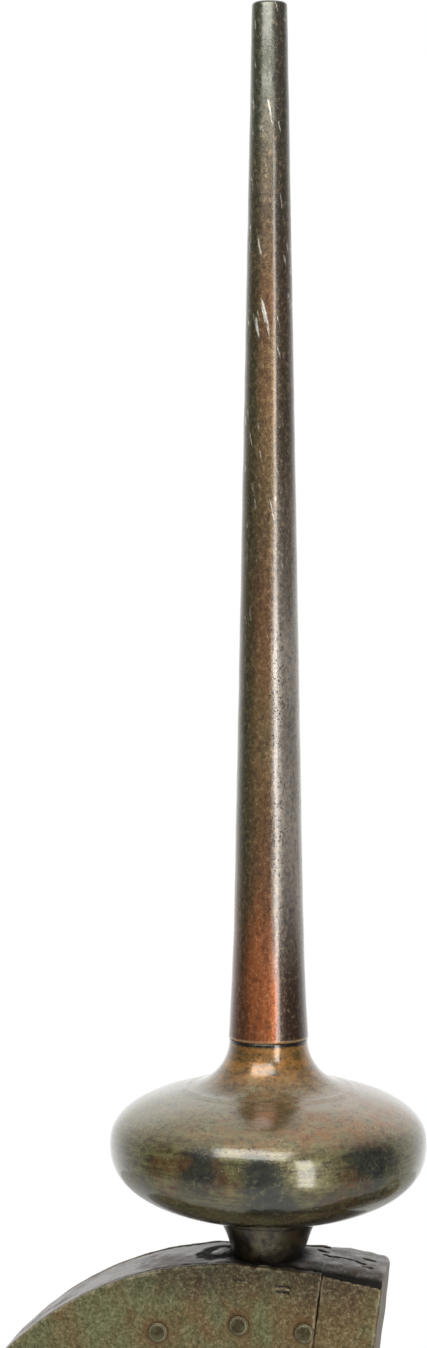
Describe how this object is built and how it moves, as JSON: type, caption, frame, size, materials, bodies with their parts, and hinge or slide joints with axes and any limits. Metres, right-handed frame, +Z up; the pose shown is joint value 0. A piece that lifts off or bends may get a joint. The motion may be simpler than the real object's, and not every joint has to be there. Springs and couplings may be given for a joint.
{
  "type": "railway semaphore signal",
  "caption": "Short-post lower-quadrant railway semaphore with ball-and-spike finial, riveted head casing, counterweighted arm and lift-off oil lamp.",
  "frame": {"origin": "on the ground at the centre of the foundation bolts, on the post's axis", "axes": "+Z up along the post and finial; the arm points to -X at danger; an approaching train sees the -Y side"},
  "size_m": [1.0957, 0.42, 2.4998],
  "materials": {
    "finial_bronze": "brown-green patina, worn to gold in places",
    "casing_bronze": "matt olive-brown patina",
    "cast_iron": "dark green paint on castings, rubbed edges",
    "black_iron": "black oiled iron",
    "post_paint": "weathered dark green paint",
    "red_enamel": "red enamel with a white stripe, chipped edges",
    "bare_steel": "dull worn steel",
    "brass": "tarnished brass",
    "lamp_paint": "black japanned sheet",
    "red_glass": "clear red",
    "green_glass": "clear blue-green",
    "clear_glass": "clear lens"
  },
  "bodies": {
    "mast": {"spike": "finial_bronze", "ball": "finial_bronze", "ball_seat": "finial_bronze", "finial_rod": "bare_steel", "finial_washer": "bare_steel", "finial_nut": "bare_steel", "front_cheek": "casing_bronze", "back_cheek": "casing_bronze", "end_bar": "casing_bronze", "rim_band": "casing_bronze", "rim_angles": "black_iron", "head_rivets": "casing_bronze", "head_saddle": "cast_iron", "saddle_bolts": "bare_steel", "spindle_bushes": "brass", "stop_studs": "bare_steel", "post": "post_paint", "base_pedestal": "cast_iron", "set_screws": "bare_steel", "fulcrum_clamp": "cast_iron", "clamp_cap": "cast_iron", "clamp_bolts": "bare_steel", "fulcrum_pin": "bare_steel", "pulley_bracket": "cast_iron", "pulley_bolts": "bare_steel", "pulley_pin": "bare_steel", "lamp_bracket": "cast_iron", "bracket_bolts": "bare_steel"},
    "arm": {"spindle": "bare_steel", "spindle_nut": "bare_steel", "spectacle_plate": "cast_iron", "arm_blade": "red_enamel", "arm_stiffener": "black_iron", "arm_bolts": "bare_steel", "red_glass": "red_glass", "green_glass": "green_glass", "glass_rings": "brass", "ring_screws": "brass", "crank": "black_iron", "crank_pin": "bare_steel"},
    "down_rod": {"down_rod": "black_iron", "upper_fork": "black_iron", "lower_fork": "black_iron", "rod_lock_nuts": "bare_steel"},
    "lever": {"balance_lever": "black_iron", "balance_weight": "black_iron", "weight_screw": "bare_steel", "lever_pin": "bare_steel", "link_pin": "bare_steel"},
    "wire_link": {"wire_link": "black_iron"},
    "pulley": {"pulley_wheel": "cast_iron"},
    "lamp": {"lamp_case": "lamp_paint", "lamp_chimney": "lamp_paint", "lamp_handle": "brass", "lens_ring": "brass", "lamp_lens": "clear_glass", "door_pin": "brass", "oil_font": "brass"},
    "lamp_door": {"lamp_door": "lamp_paint"},
    "wick": {"wick_knob": "brass"}
  },
  "joints": [
    {"name": "arm_turn", "type": "hinge", "parent": "mast", "child": "arm", "pos_m": [-0.018, 0, 1.48], "axis": [0, -1, 0], "range_deg": [0, 45]},
    {"name": "rod_pivot", "type": "hinge", "parent": "arm", "child": "down_rod", "pos_m": [-0.10115, 0.06595, 1.51444], "axis": [0, -1, 0], "range_deg": [-45, 0]},
    {"name": "lever_turn", "type": "hinge", "parent": "mast", "child": "lever", "pos_m": [-0.018, 0.06595, 0.43], "axis": [0, -1, 0], "range_deg": [0, 45]},
    {"name": "link_pivot", "type": "hinge", "parent": "lever", "child": "wire_link", "pos_m": [-0.1843, 0.06595, 0.49888], "axis": [0, -1, 0], "range_deg": [-45, 0]},
    {"name": "pulley_spin", "type": "hinge", "parent": "mast", "child": "pulley", "pos_m": [-0.1843, 0.01595, 0.094], "axis": [1, 0, 0], "continuous": true},
    {"name": "lamp_lift", "type": "slide", "parent": "mast", "child": "lamp", "axis": [0, 0, 1], "range_m": [0, 0.076]},
    {"name": "lamp_door_swing", "type": "hinge", "parent": "lamp", "child": "lamp_door", "pos_m": [0.263, 0.114, 1.475], "axis": [0, 0, -1], "range_deg": [0, 110]},
    {"name": "wick_turn", "type": "hinge", "parent": "lamp", "child": "wick", "pos_m": [0.27, 0.05, 1.458], "axis": [1, 0, 0], "continuous": true}
  ],
  "couplings": [
    {"joint": "rod_pivot", "follows": "arm_turn", "ratio": -1},
    {"joint": "lever_turn", "follows": "arm_turn", "ratio": 1},
    {"joint": "link_pivot", "follows": "arm_turn", "ratio": -1}
  ]
}
